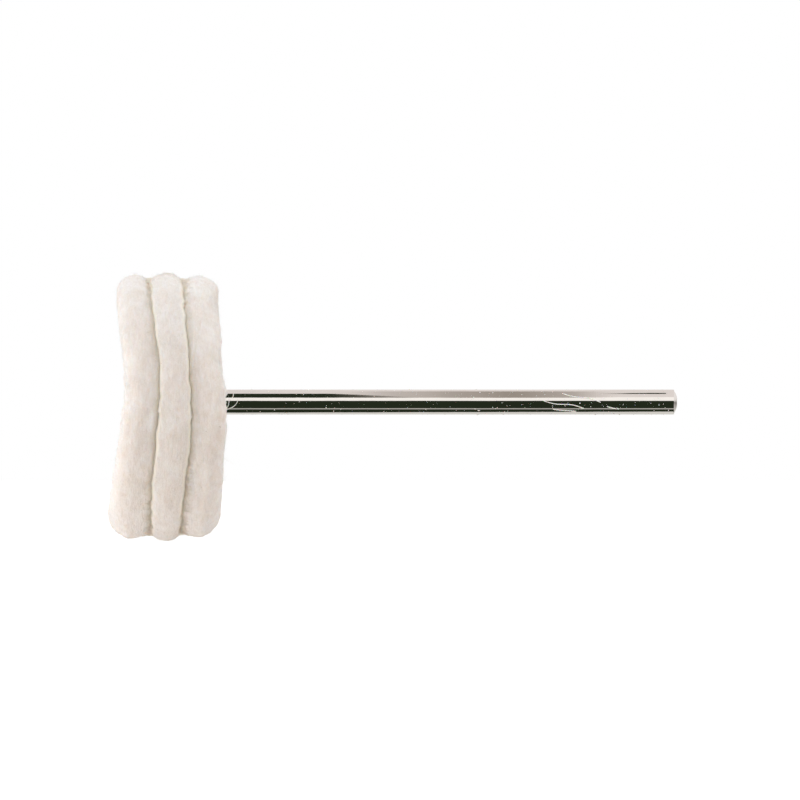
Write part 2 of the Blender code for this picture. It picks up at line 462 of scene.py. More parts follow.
# Cards seen only in the plating, 60 mm out from the shank: colour, corners as (mm along X,
# degrees round the shank), and how solid each is by mm along X
CARDS = (
    ("brown_card", (0.36, 0.315, 0.275),
     ((-34, 39), (-4, 39), (-4, 116), (-34, 116)),
     ((-33, 0.0), (-27, 0.5), (-20, 0.8), (-15, 1.0), (-9, 0.7), (-6.5, 0.25), (-4.2, 0.0))),
    ("black_card_at_felt", DARK,
     ((-120, 40), (-24, 40), (-26, 50), (-33, 83), (-120, 83)),
     ((-120, 1.0), (-30, 1.0), (-24, 0.35))),
    ("black_card_at_end", DARK,
     ((-6, 78), (1.6, 80), (1.6, 93), (-1.0, 93), (-6, 88)),
     ((-6, 0.0), (-3, 1.0), (1.6, 1.0))),
    ("white_card_below", (0.74, 0.73, 0.69),
     ((-50, -120), (-50, -119), (6, -98), (6, -120)),
     ((-50, 1.0), (6, 1.0))),
)
CARD_REACH = 60.0 * MM
# What shiny faces square to the shank see, by height: -180 straight down, 180 straight up
END_GLOW = (
    (-180.0, (0.80, 0.77, 0.74)),
    (-60.0, (0.62, 0.59, 0.56)),
    (-5.0, (0.25, 0.235, 0.22)),
    (20.0, (0.88, 0.85, 0.82)),
    (180.0, (1.0, 0.97, 0.95)),
)
# Soft light on matt surfaces, by the angle round the shank
FILL = (
    (-180.0, (0.96, 0.96, 0.96)),
    (-95.0, (1.00, 0.98, 0.96)),
    (-45.0, (0.18, 0.115, 0.075)),
    (5.0, (0.33, 0.26, 0.21)),
    (60.0, (0.95, 0.95, 0.95)),
    (120.0, (1.10, 1.11, 1.12)),
    (180.0, (0.96, 0.96, 0.96)),
)

# Soft lights aimed at the wheel: place, energy in watts, colour
WHEEL_CENTRE = (-47.0 * MM, 0.0, 0.0)
LIGHT_SIZE = 0.30
LIGHTS = (
    ("key", (-0.20, -0.30, 0.34), 0.73, (0.98, 0.99, 1.0)),
    ("front_side", (-0.52, -0.12, 0.03), 0.43, (0.78, 0.93, 1.06)),
    ("rear_side", (0.42, -0.12, 0.03), 0.40, (0.95, 0.98, 1.0)),
)
# A small low light, just above the floor in front of the wheel's face
BOUNCE_PLACE = (-74.0 * MM, -12.0 * MM)
BOUNCE_ABOVE_FLOOR = 2.0 * MM
BOUNCE_SIZE = 50.0 * MM
BOUNCE_ENERGY = 0.010
BOUNCE_COLOUR = (1.0, 0.97, 0.95)
# The floor: its colour, its own faint light on the wheel, and how white the camera sees it
FLOOR_COLOUR = (0.69, 0.645, 0.605)
FLOOR_LIGHT = ((1.0, 0.98, 0.965), 0.05)
FLOOR_GLOW = 1.25
FLOOR_GLOW_SHARE = 0.82


def band_stops():
    """The bands as colour stops with nearly hard edges between them."""
    soft = 1.2
    start, stops = -180.0, []
    for end, colour in BANDS:
        stops += [(start + soft, colour), (end - soft, colour)]
        start = end
    return stops


def make_world():
    """White to the camera, soft fill for matt surfaces, and softbox bands for the plating."""
    world = bpy.data.worlds.new("studio")
    bpy.context.scene.world = world
    world.use_nodes = True
    tree = world.node_tree
    tree.nodes.clear()

    def add(kind, **settings):
        made = tree.nodes.new(kind)
        for key, value in settings.items():
            setattr(made, key, value)
        return made

    def ramp(stops, source):
        made = add("ShaderNodeValToRGB")
        elements = made.color_ramp.elements
        while len(elements) < len(stops):
            elements.new(0.5)
        for element, (degrees, colour) in zip(elements, stops):
            element.position = (degrees + 180.0) / 360.0
            element.color = (*colour, 1.0)
        tree.links.new(source.outputs["Result"], made.inputs["Fac"])
        return made.outputs["Color"]

    def choose(factor, otherwise, chosen):
        made = add("ShaderNodeMix", data_type="RGBA")
        tree.links.new(factor, made.inputs[0])
        tree.links.new(otherwise, made.inputs[6])
        if isinstance(chosen, bpy.types.NodeSocket):
            tree.links.new(chosen, made.inputs[7])
        else:
            made.inputs[7].default_value = chosen
        return made.outputs[2]

    place = add("ShaderNodeTexCoord")
    split = add("ShaderNodeSeparateXYZ")
    tree.links.new(place.outputs["Generated"], split.inputs[0])
    front = add("ShaderNodeMath", operation="MULTIPLY")
    front.inputs[1].default_value = -1.0
    tree.links.new(split.outputs["Y"], front.inputs[0])
    angle = add("ShaderNodeMath", operation="ARCTAN2")
    tree.links.new(split.outputs["Z"], angle.inputs[0])
    tree.links.new(front.outputs[0], angle.inputs[1])
    share = add("ShaderNodeMapRange")
    share.inputs["From Min"].default_value = -math.pi
    share.inputs["From Max"].default_value = math.pi
    tree.links.new(angle.outputs[0], share.inputs["Value"])
    path = add("ShaderNodeLightPath")
    ahead = add("ShaderNodeMath", operation="ABSOLUTE")
    tree.links.new(split.outputs["X"], ahead.inputs[0])
    along = add("ShaderNodeMapRange", interpolation_type="SMOOTHSTEP")
    along.inputs["From Min"].default_value = 0.35
    along.inputs["From Max"].default_value = 0.65
    tree.links.new(ahead.outputs[0], along.inputs["Value"])
    height = add("ShaderNodeMapRange")
    height.inputs["From Min"].default_value = -1.0
    tree.links.new(split.outputs["Z"], height.inputs["Value"])
    shiny = choose(
        along.outputs["Result"], ramp(band_stops(), share), ramp(END_GLOW, height),
    )
    lit = choose(path.outputs["Is Glossy Ray"], ramp(FILL, share), shiny)
    seen = choose(path.outputs["Is Camera Ray"], lit, (1.0, 1.0, 1.0, 1.0))
    back = add("ShaderNodeBackground")
    tree.links.new(seen, back.inputs["Color"])
    out = add("ShaderNodeOutputWorld")
    tree.links.new(back.outputs[0], out.inputs["Surface"])


def make_floor():
    """Plain pale floor under the wheel, bright enough to meet the white backdrop."""
    height = CAD_BOX[0][2] - FLOOR_DROP
    half = 4.0
    mesh = bpy.data.meshes.new("floor")
    corners = [(-half, -half), (half, -half), (half, half), (-half, half)]
    mesh.from_pydata([(x, y, height) for x, y in corners], [], [(0, 1, 2, 3)])
    floor = bpy.data.objects.new("floor", mesh)
    bpy.context.scene.collection.objects.link(floor)
    material = bpy.data.materials.new("pale_floor")
    material.use_nodes = True
    tree = material.node_tree
    shader = tree.nodes["Principled BSDF"]
    shader.inputs["Base Color"].default_value = (*FLOOR_COLOUR, 1.0)
    shader.inputs["Roughness"].default_value = 1.0
    shader.inputs["Specular IOR Level"].default_value = 0.0
    shader.inputs["Emission Color"].default_value = (*FLOOR_LIGHT[0], 1.0)
    shader.inputs["Emission Strength"].default_value = FLOOR_LIGHT[1]
    glow = tree.nodes.new("ShaderNodeEmission")
    glow.inputs["Strength"].default_value = FLOOR_GLOW
    path = tree.nodes.new("ShaderNodeLightPath")
    share = tree.nodes.new("ShaderNodeMath")
    share.operation = "MULTIPLY"
    share.inputs[1].default_value = FLOOR_GLOW_SHARE
    tree.links.new(path.outputs["Is Camera Ray"], share.inputs[0])
    both = tree.nodes.new("ShaderNodeMixShader")
    tree.links.new(share.outputs[0], both.inputs["Fac"])
    tree.links.new(shader.outputs[0], both.inputs[1])
    tree.links.new(glow.outputs[0], both.inputs[2])
    tree.links.new(both.outputs[0], tree.nodes["Material Output"].inputs["Surface"])
    mesh.materials.append(material)
    floor.visible_glossy = False


def make_card(name, colour, corners, solid):
    """A card above or below the shank that only the plating sees, with faded ends."""
    mesh = bpy.data.meshes.new(name)
    places = []
    for along, degrees in corners:
        turn = math.radians(degrees)
        places.append(
            (along * MM, -CARD_REACH * math.cos(turn), CARD_REACH * math.sin(turn))
        )
    mesh.from_pydata(places, [], [tuple(range(len(places)))])
    card = bpy.data.objects.new(name, mesh)
    bpy.context.scene.collection.objects.link(card)
    n = Nodes(name)
    split = n.add("ShaderNodeSeparateXYZ")
    n.join(n.place, split.inputs[0])
    low, high = solid[0][0], solid[-1][0]
    share = n.remap(split.outputs["X"], low * MM, high * MM, 0.0, 1.0)
    stops = [((along - low) / (high - low), (value,) * 3) for along, value in solid]
    glow = n.add("ShaderNodeEmission")
    glow.inputs["Color"].default_value = (*colour, 1.0)
    both = n.add("ShaderNodeMixShader")
    n.join(n.ramp(share, *stops), both.inputs["Fac"])
    n.join(n.add("ShaderNodeBsdfTransparent").outputs[0], both.inputs[1])
    n.join(glow.outputs[0], both.inputs[2])
    n.join(both.outputs[0], n.tree.nodes["Material Output"].inputs["Surface"])
    mesh.materials.append(n.material)
    for ray in ("visible_camera", "visible_diffuse", "visible_shadow",
                "visible_transmission", "visible_volume_scatter"):
        setattr(card, ray, False)


def make_light(name, place, size, energy, colour):
    """A square soft light aimed at the wheel, which the plating doesn't mirror."""
    data = bpy.data.lights.new(name, "AREA")
    data.size = size
    data.energy = energy
    data.color = colour
    light = bpy.data.objects.new(name, data)
    bpy.context.scene.collection.objects.link(light)
    light.location = place
    aim = Vector(WHEEL_CENTRE) - Vector(place)
    light.rotation_euler = aim.to_track_quat("-Z", "Y").to_euler()
    light.visible_glossy = False
    light.visible_camera = False


def make_camera():
    """A long lens level with the shank, looking square at it."""
    data = bpy.data.cameras.new("camera")
    data.sensor_width = SENSOR_WIDTH
    data.lens = SENSOR_WIDTH * CAMERA_DISTANCE / FRAME_WIDTH
    data.clip_start = 0.01
    data.clip_end = 20.0
    camera = bpy.data.objects.new("camera", data)
    bpy.context.scene.collection.objects.link(camera)
    camera.location = (VIEW_CENTRE_X, -CAMERA_DISTANCE, VIEW_CENTRE_Z)
    camera.rotation_euler = (math.pi / 2.0, 0.0, 0.0)
    bpy.context.scene.camera = camera


def make_studio():
    """Camera, world, floor, cards and lights, with plain colour settings."""
    make_camera()
    make_world()
    make_floor()
    for card in CARDS:
        make_card(*card)
    for name, place, energy, colour in LIGHTS:
        make_light(name, place, LIGHT_SIZE, energy, colour)
    low = CAD_BOX[0][2] - FLOOR_DROP + BOUNCE_ABOVE_FLOOR
    make_light("bounce", (*BOUNCE_PLACE, low), BOUNCE_SIZE, BOUNCE_ENERGY, BOUNCE_COLOUR)
    bpy.context.scene.view_settings.view_transform = "Standard"
    bpy.context.scene.view_settings.look = "None"


# ---------------------------------------------------------------- metal parts

def make_mandrel(material):
    """Polished shank with a domed end, filleted clamping flange, and the tapped hole."""
    node_low, node_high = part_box("mandrel")
    flange_front = node_low[0]
    flange_radius = node_high[2]
    flange_rear = flange_front + FLANGE_THICKNESS
    edge = SHANK_RADIUS - END_EDGE_ROUND
    start = math.asin(END_FLAT_RADIUS / END_DOME_RADIUS)
    end = math.asin(edge / END_DOME_RADIUS)
    centre = -END_DOME_RADIUS * math.cos(start)
    foot = centre + END_DOME_RADIUS * math.cos(end)
    quarter = math.pi / 2.0
    dome = arc((centre, 0.0), (END_DOME_RADIUS, END_DOME_RADIUS), start, end, 14)
    rounding = arc(
        (foot - 0.02 * MM, edge), (END_EDGE_ROUND, END_EDGE_ROUND), quarter * 0.45, quarter, 5,
    )
    shank_end = (rounding[-1][0], SHANK_RADIUS)
    fillet = arc(
        (flange_rear + FLANGE_FILLET, SHANK_RADIUS + FLANGE_FILLET),
        (FLANGE_FILLET, FLANGE_FILLET), 3.0 * quarter, 2.0 * quarter, 8,
    )
    rear_edge = arc(
        (flange_rear - FLANGE_ROUND, flange_radius - FLANGE_ROUND),
        (FLANGE_ROUND, FLANGE_ROUND), 0.0, quarter, 5,
    )
    front_edge = arc(
        (flange_front + FLANGE_ROUND, flange_radius - FLANGE_ROUND),
        (FLANGE_ROUND, FLANGE_ROUND), quarter, 2.0 * quarter, 5,
    )
    profile = [
        (0.0, 0.0),
        (0.0, END_FLAT_RADIUS * 0.5),
        *dome[:-1],
        *rounding,
        *between(shank_end, fillet[0], 40),
        *fillet,
        *rear_edge,
        *front_edge,
        (flange_front, TAPPED_RADIUS),
        (flange_front + TAPPED_DEPTH, TAPPED_RADIUS),
        (flange_front + TAPPED_DEPTH + DRILL_POINT, 0.0),
    ]
    mesh = lathe("mandrel_finished", profile, 160)
    return add_object(
        "mandrel_finished", mesh, material, FIXED_BODY, ("mandrel",)
    )


def make_washer(name, node, body, material):
    """Thin stamped washer: both outer edges rounded alike, and the hole's edges eased."""
    low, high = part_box(node)
    rear, front, radius = high[0], low[0], high[2]
    quarter = math.pi / 2.0
    rear_edge = arc(
        (rear - WASHER_ROUND, radius - WASHER_ROUND), (WASHER_ROUND, WASHER_ROUND),
        0.0, quarter, 6,
    )
    front_edge = arc(
        (front + WASHER_ROUND, radius - WASHER_ROUND), (WASHER_ROUND, WASHER_ROUND),
        quarter, 2.0 * quarter, 6,
    )
    ease = WASHER_EASE
    profile = [
        (rear - ease, WASHER_HOLE_RADIUS),
        (rear, WASHER_HOLE_RADIUS + ease),
        *between((rear, WASHER_HOLE_RADIUS + ease), rear_edge[0], 6),
        *rear_edge,
        *front_edge,
        *between(front_edge[-1], (front, WASHER_HOLE_RADIUS + ease), 6),
        (front, WASHER_HOLE_RADIUS + ease),
        (front + ease, WASHER_HOLE_RADIUS),
    ]
    mesh = lathe(name, profile, 128)
    return add_object(name, mesh, material, body, (node,))


def thread_rings(start, end):
    """Rings of a single-start ridge: its height depends on the turn and the place along."""
    steps = int(round((end - start) / (THREAD_PITCH / 8.0)))
    around = 48
    turn = 2.0 * np.pi * np.arange(around) / around
    along = np.linspace(start, end, steps + 1)[:, None]
    phase = (along / THREAD_PITCH - turn[None] / (2.0 * np.pi)) % 1.0
    ridge = 1.0 - np.abs(2.0 * phase - 1.0)
    fade = smooth_step((along - start) / THREAD_START) * smooth_step((end - along) / THREAD_PITCH)
    radius = SCREW_RADIUS - THREAD_DEPTH * fade * (1.0 - np.clip(ridge * 1.25, 0.0, 1.0))
    return np.stack([
        np.broadcast_to(along, radius.shape),
        -radius * np.cos(turn)[None],
        radius * np.sin(turn)[None],
    ], axis=-1)


def slotted_head(top, seat, head_radius):
    """A crowned head with a cut slot, worn edges and painted shade on the slot's floor, as a
    bmesh.
    """
    quarter = math.pi / 2.0
    crown = arc(
        (top + HEAD_ROUND, head_radius - HEAD_ROUND), (HEAD_ROUND, HEAD_ROUND),
        quarter, 2.0 * quarter, 8,
    )
    head_profile = [
        (seat, 0.0),
        (seat, SCREW_RADIUS),
        (seat, head_radius - HEAD_EASE),
        (seat - HEAD_EASE, head_radius),
        *crown,
        *between(crown[-1], (top, 0.0), 5),
        (top, 0.0),
    ]
    head = lathe("screw_head", head_profile, 128)
    cutter = bmesh.new()
    bmesh.ops.create_cube(cutter, size=1.0)
    bmesh.ops.scale(
        cutter, vec=(2.0 * SLOT_DEPTH, 4.0 * head_radius, SLOT_WIDTH), verts=cutter.verts
    )
    bmesh.ops.translate(cutter, vec=(top, 0.0, 0.0), verts=cutter.verts)
    slot_mesh = bpy.data.meshes.new("slot")
    cutter.to_mesh(slot_mesh)
    cutter.free()
    slot = bpy.data.objects.new("slot", slot_mesh)
    holder = bpy.data.objects.new("head", head)
    for made in (slot, holder):
        bpy.context.scene.collection.objects.link(made)
    cut = holder.modifiers.new("slot", "BOOLEAN")
    cut.operation = "DIFFERENCE"
    cut.object = slot
    worn = holder.modifiers.new("worn_edges", "BEVEL")
    worn.width = 0.035 * MM
    worn.segments = 2
    worn.limit_method = "ANGLE"
    worn.angle_limit = math.radians(50)
    bpy.context.view_layer.update()
    graph = bpy.context.evaluated_depsgraph_get()
    shape = bmesh.new()
    shape.from_mesh(holder.evaluated_get(graph).to_mesh())
    holder.evaluated_get(graph).to_mesh_clear()
    # Painted shade: the slot's floor is marked to be darkened, as shade down in the slot.
    painted_slot_shade = shape.verts.layers.float.new("painted_slot_shade")
    for vert in shape.verts:
        if abs(vert.co.x - top - SLOT_DEPTH) < 0.06 * MM:
            vert[painted_slot_shade] = 0.9
    for made in (slot, holder):
        bpy.data.objects.remove(made)
    return shape


def make_screw(material):
    """Slotted screw: a crowned head, and a real helical thread with a tapered tip."""
    low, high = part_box("clamp_screw")
    tip = high[0]
    seat = low[0] + HEAD_HEIGHT
    shape = slotted_head(low[0] + HEAD_WEAR, seat, high[2])
    rings = thread_rings(seat - HEAD_OVERLAP, tip - TIP_TAPER)
    tip_scale = (SCREW_RADIUS - TIP_TAPER) / SCREW_RADIUS
    last = rings[-1] * (1.0, tip_scale, tip_scale) + (TIP_TAPER, 0.0, 0.0)
    rings = np.concatenate([rings, last[None]])
    verts = [[shape.verts.new(tuple(p)) for p in ring] for ring in rings]
    around = len(verts[0])
    for one, two in zip(verts, verts[1:]):
        for k in range(around):
            after = (k + 1) % around
            shape.faces.new((one[k], two[k], two[after], one[after]))
    shape.faces.new(verts[-1])
    shape.faces.new(list(reversed(verts[0])))
    bmesh.ops.recalc_face_normals(shape, faces=shape.faces)
    mesh = bpy.data.meshes.new("clamp_screw_finished")
    shape.to_mesh(mesh)
    shape.free()
    mesh.shade_smooth()
    mesh.set_sharp_from_angle(angle=math.radians(32))
    return add_object(
        "clamp_screw_finished", mesh, material, SCREW_BODY, ("clamp_screw",)
    )


# ---------------------------------------------------------------- felt

def stack_faces():
    """Where the stack's four faces lie along X: at the clamp, and at the rim mid-height."""
    clamp_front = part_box("front_washer")[1][0]
    clamp_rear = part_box("rear_washer")[0][0]
    clamped = np.linspace(clamp_front, clamp_rear, 4)
    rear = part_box("felt_disc_rear")[1][0] + REAR_BULGE
    rear_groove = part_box("felt_disc_middle")[1][0] + REAR_GROOVE_SHIFT
    front_groove = rear_groove - MIDDLE_PLY
    full = np.array([front_groove - FRONT_PLY, front_groove, rear_groove, rear])
    return clamped, full


def face_place(face, reach, turn):
    """X of a stack face at a reach from the axis and a turn: 0 faces the camera, 90 up."""
    clamped, full = stack_faces()
    crest, above, below = BOWS[face]
    ease = np.sin(np.clip((reach - CLAMPED_REACH) / (FULL_REACH - CLAMPED_REACH), 0, 1)
                  * np.pi / 2.0)
    up = reach * np.sin(turn)
    bow = above[0] * smooth_step((up - crest) / above[1])
    bow = bow + below[0] * smooth_step((crest - up) / below[1])
    if face == 3:
        near = smooth_step(np.cos(turn) * 2.0)
        for height, depth, half in REAR_DENTS:
            bow = bow + depth * near * np.exp(-((up - height) / half) ** 2)
    turned = DISC_TURN * np.cos(turn) * reach / DISC_RADII[1]
    wobble = GROOVE_WOBBLE * (
        np.sin(23.0 * turn + 5.0 * face + 2.0 * np.sin(7.0 * turn))
        + 0.6 * np.sin(61.0 * turn + face + 3.0 * np.sin(11.0 * turn))
    )
    return clamped[face] + (full[face] + turned + wobble - clamped[face] - bow) * ease


def swirl(points, feature, seed):
    """Smooth noise in -1..1 at each point, with features of the given size."""
    shift = Vector((seed * 3.1, seed * 1.7, seed * 2.3))
    flat = points.reshape(-1, 3) / feature
    values = [noise.noise(Vector(p) + shift) for p in flat.tolist()]
    return np.array(values).reshape(points.shape[:-1])


def cloth_swell(points, held):
    """Cloth with a little pressure inside it, run on a coarse copy of a closed grid.

    Gives how far each point of the full grid moves. Held points stay where they are.
    """
    rings, around = points.shape[:2]
    pick_ring = np.linspace(0, rings, CLOTH_GRID[0], endpoint=False).astype(int)
    pick_turn = np.arange(0, around, around // CLOTH_GRID[1])
    coarse = points[pick_ring][:, pick_turn]
    copy = bpy.data.objects.new("cloth_copy", grid_mesh("cloth_copy", coarse * CLOTH_SCALE))
    bpy.context.scene.collection.objects.link(copy)
    group = copy.vertex_groups.new(name="held")
    fixed = np.broadcast_to(held, points.shape[:2])[pick_ring][:, pick_turn].ravel()
    group.add(np.flatnonzero(fixed).tolist(), 1.0, "REPLACE")
    cloth = copy.modifiers.new("swell", "CLOTH")
    cloth.settings.vertex_group_mass = "held"
    cloth.settings.quality = 6
    cloth.settings.mass = 0.4
    cloth.settings.tension_stiffness = CLOTH_STIFFNESS
    cloth.settings.compression_stiffness = CLOTH_STIFFNESS
    cloth.settings.shear_stiffness = CLOTH_STIFFNESS / 2.0
    cloth.settings.bending_stiffness = 5.0
    cloth.settings.air_damping = 4.0
    cloth.settings.use_pressure = True
    cloth.settings.uniform_pressure_force = CLOTH_PRESSURE
    cloth.settings.effector_weights.gravity = 0.0
    cloth.collision_settings.use_collision = False
    cloth.point_cache.frame_end = CLOTH_FRAMES
    scene = bpy.context.scene
    for number in range(1, CLOTH_FRAMES + 1):
        scene.frame_set(number)
    graph = bpy.context.evaluated_depsgraph_get()
    settled = copy.evaluated_get(graph).to_mesh()
    after = np.empty(len(settled.vertices) * 3)
    settled.vertices.foreach_get("co", after)
    bpy.data.objects.remove(copy)
    scene.frame_set(1)
    move = after.reshape(coarse.shape) / CLOTH_SCALE - coarse
    size = np.linalg.norm(move, axis=-1, keepdims=True)
    move *= CLOTH_CAP * np.tanh(size / CLOTH_CAP) / np.maximum(size, 1e-9)

    # Carry the coarse movement to the full grid, round both ways
    ring_at = np.arange(rings)
    turn_at = np.arange(around)
    along = np.stack([
        [np.interp(ring_at, pick_ring, move[:, k, axis], period=rings)
         for k in range(len(pick_turn))]
        for axis in range(3)
    ])
    full = np.stack([
        [np.interp(turn_at, pick_turn, along[axis, :, ring], period=around)
         for ring in range(rings)]
        for axis in range(3)
    ], axis=-1)
    return full


def rim_fall(style, share):
    """How deep a rim lies at a share of the way from its crown to its side, and that side's
    share of the ply's half thickness: a rounded edge, or an arc cut off by its neighbour,
    with a groove pressed in beside it."""
    depth, swing = style
    angle = share * swing
    side = np.sin(angle) / math.sin(swing)
    fall = depth * (1.0 - np.cos(angle)) / (1.0 - math.cos(swing))
    if style == TOUCHING_RIM:
        beside = (1.0 - side) * MIDDLE_PLY / 2.0
        fall = fall + GROOVE_DEPTH * (1.0 - smooth_step(beside / GROOVE_HALF))
    return fall, side


def rim_extra(style, turn):
    """How much deeper a rim lies by turn: the open edges are worn more at the bottom, and
    the grooves open out at the top and bottom."""
    if style == OPEN_RIM:
        return 1.0 + LOWER_EDGE_EXTRA * np.clip(-np.sin(turn), 0.0, 1.0) ** 2
    return 1.0 + TOP_AND_BOTTOM_EXTRA * np.sin(turn) ** 8


def make_disc(layer, name, node, material):
    """One felt ply: pinched at the hub, plump at the rim, bowed, and uneven as felt is."""
    radius = DISC_RADII[layer]
    rear_style = OPEN_RIM if layer == 2 else TOUCHING_RIM
    front_style = OPEN_RIM if layer == 0 else TOUCHING_RIM
    turn = 2.0 * np.pi * np.arange(AROUND)[None] / AROUND
    steps = np.linspace(0.0, 1.0, RIM_STEPS)
    rear_fall, rear_side = rim_fall(rear_style, steps[:0:-1])
    front_fall, front_side = rim_fall(front_style, steps)
    rear_fall = rear_fall[:, None] * rim_extra(rear_style, turn)
    front_fall = front_fall[:, None] * rim_extra(front_style, turn)
    inward = np.linspace(0.0, 1.0, FACE_STEPS)[:, None]
    rear_reach = radius - rear_fall[:1]
    rear_reach = (BORE_RADIUS + (rear_reach - BORE_RADIUS) * inward)[:-1]
    front_reach = radius - front_fall[-1:]
    front_reach = (front_reach + (BORE_RADIUS - front_reach) * inward)[1:]
    bore = np.linspace(0.0, 1.0, BORE_STEPS + 2)[1:-1]
    out = np.concatenate([
        rear_reach, radius - rear_fall, radius - front_fall, front_reach,
        np.full((BORE_STEPS, AROUND), BORE_RADIUS),
    ])
    share = np.concatenate([
        np.ones(len(rear_reach)), 0.5 + 0.5 * rear_side, 0.5 - 0.5 * front_side,
        np.zeros(len(front_reach)), bore,
    ])[:, None]
    front = face_place(layer, out, turn) + CONTACT_GAP / 2.0
    rear = face_place(layer + 1, out, turn) - CONTACT_GAP / 2.0
    ease = smooth_step((out - CLAMPED_REACH) / (FULL_REACH - CLAMPED_REACH))
    points = np.stack([
        front + (rear - front) * share,
        -out * np.cos(turn),
        out * np.sin(turn) - RIM_DROP * ease,
    ], axis=-1)

    # Faces that press on a neighbour stay flat; open faces and the rim are uneven
    touching_rear = (share > 0.5) & (layer != 2)
    touching_front = (share < 0.5) & (layer != 0)
    touching = touching_rear | touching_front
    beside = (1.0 - np.abs(2.0 * share - 1.0)) * MIDDLE_PLY / 2.0
    held = (out < CLAMPED_REACH + 0.3 * MM) | (touching & (beside < GROOVE_SHADE))
    points = points + cloth_swell(points, held)
    mesh = grid_mesh(name, points)
    normals = np.empty(len(mesh.vertices) * 3)
    mesh.vertices.foreach_get("normal", normals)
    normals = normals.reshape(points.shape)
    crown = smooth_step((beside - 0.1 * MM) / (0.4 * MM))
    open_face = smooth_step((out - CLAMPED_REACH) / (2.0 * MM))
    loose = np.where(touching, crown, open_face)
    lumps = (
        COARSE_LUMP * swirl(points, 4.2 * MM, layer + 1)
        + FINE_LUMP * swirl(points, 1.5 * MM, layer + 5)
        + FINE_LUMP * swirl(points * (1.6, 0.8, 0.8), 0.6 * MM, layer + 9)
    )
    points = points + normals * (lumps * loose)[..., None]
    mesh.vertices.foreach_set("co", points.astype(np.float32).ravel())
    mesh.update()
    # Painted shade for the grooves: full at the contact with the next ply, fading out across
    # GROOVE_SHADE.
    painted_groove_shade = mesh.attributes.new("painted_groove_shade", "FLOAT", "POINT")
    depth = (1.0 - smooth_step(beside / GROOVE_SHADE)) * touching
    shade = np.broadcast_to(depth, points.shape[:-1])
    painted_groove_shade.data.foreach_set("value", shade.astype(np.float32).ravel())
    disc = add_object(name, mesh, material, FIXED_BODY, (node,))
    return disc


def fuzz_on(name, disc, material, seed):
    """Short loose fibres standing off a disc's open surface, most of them on its rim."""
    pick = np.random.default_rng(seed)
    mesh = disc.data
    faces = len(mesh.polygons)
    centre, normal, area = np.empty(faces * 3), np.empty(faces * 3), np.empty(faces)
    mesh.polygons.foreach_get("center", centre)
    mesh.polygons.foreach_get("normal", normal)
    mesh.polygons.foreach_get("area", area)
    centre, normal = centre.reshape(-1, 3), normal.reshape(-1, 3)
    hidden = np.empty(len(mesh.vertices))
    mesh.attributes["painted_groove_shade"].data.foreach_get("value", hidden)
    first = np.empty(faces * 4, dtype=np.int32)
    mesh.polygons.foreach_get("vertices", first)
    shut = hidden[first.reshape(-1, 4)[:, 0]]
    reach = np.hypot(centre[:, 1], centre[:, 2])
    weight = area * (reach > 4.0 * MM) * np.clip(1.0 - 1.2 * shut, 0.0, 1.0)
    weight *= 0.35 + 0.65 * smooth_step((reach - 9.5 * MM) / (2.0 * MM))
    count = FUZZ_COUNT
    chosen = pick.choice(faces, count, p=weight / weight.sum())
    root, out = centre[chosen], normal[chosen]
    spread = pick.normal(size=(count, 3))
    side = spread - out * (spread * out).sum(1, keepdims=True)
    side /= np.linalg.norm(side, axis=1, keepdims=True)
    lean = pick.uniform(0.6, 2.6, (count, 1))
    go = out + side * lean
    go /= np.linalg.norm(go, axis=1, keepdims=True)
    curl = np.cross(out, side) * pick.normal(0.0, 0.6, (count, 1))
    curl += out * pick.normal(-0.35, 0.35, (count, 1))
    size = FUZZ_LENGTH * np.exp(pick.normal(0.0, 0.45, (count, 1)))
    step = np.array([0.0, 0.35, 0.7, 1.0])
    jitter = pick.normal(0.0, 0.12 * MM, (count, 1)) * side
    start = root + jitter - out * 0.03 * MM
    paths = start[:, None] + size[:, None] * (
        go[:, None] * step[None, :, None] + curl[:, None] * (step ** 2)[None, :, None]
    )
    taper = np.array([1.0, 0.9, 0.7, 0.25])
    radii = FUZZ_RADIUS * pick.uniform(0.7, 1.2, (count, 1)) * taper[None]
    return add_object(
        name, fibre_mesh(name, paths, radii), material, FIXED_BODY
    )


def groove_fibres(name, face, material, seed):
    """Fibres that have matted together across the groove between two discs."""
    count = MATTED_COUNT
    pick = np.random.default_rng(seed)
    turn = pick.uniform(0.0, 2.0 * np.pi, count)
    half_ply = MIDDLE_PLY / 2.0
    radius = min(DISC_RADII[face - 1], DISC_RADII[face])
    reach_across = pick.uniform(0.25, 0.85, (count, 2)) * MM
    slant = pick.normal(0.0, 0.03, count)
    share = np.array([-1.0, -0.5, 0.0, 0.5, 1.0])
    side = np.where(share[None] < 0.0, reach_across[:, :1], reach_across[:, 1:]) * np.abs(share)
    swing = TOUCHING_RIM[1]
    angle = np.arcsin(np.clip(1.0 - side / half_ply, 0.0, 1.0) * math.sin(swing))
    fall = rim_fall(TOUCHING_RIM, angle / swing)[0] * rim_extra(TOUCHING_RIM, turn[:, None])
    ends_fall = np.maximum(fall[:, :1], fall[:, -1:])
    lift = pick.uniform(-0.02, 0.10, (count, 1)) * MM
    fall = np.minimum(fall, ends_fall + 0.12 * MM) - lift * (1.0 - np.abs(share)) + 0.015 * MM
    around = turn[:, None] + slant[:, None] * share
    reach = radius - fall
    paths = np.stack([
        face_place(face, reach, around) + side * np.sign(share),
        -reach * np.cos(around),
        reach * np.sin(around) - RIM_DROP,
    ], axis=-1)
    radii = MATTED_RADIUS * pick.uniform(0.6, 1.3, (count, 1)) * (1.0 - 0.5 * np.abs(share))
    return add_object(
        name, fibre_mesh(name, paths, radii), material, FIXED_BODY
    )


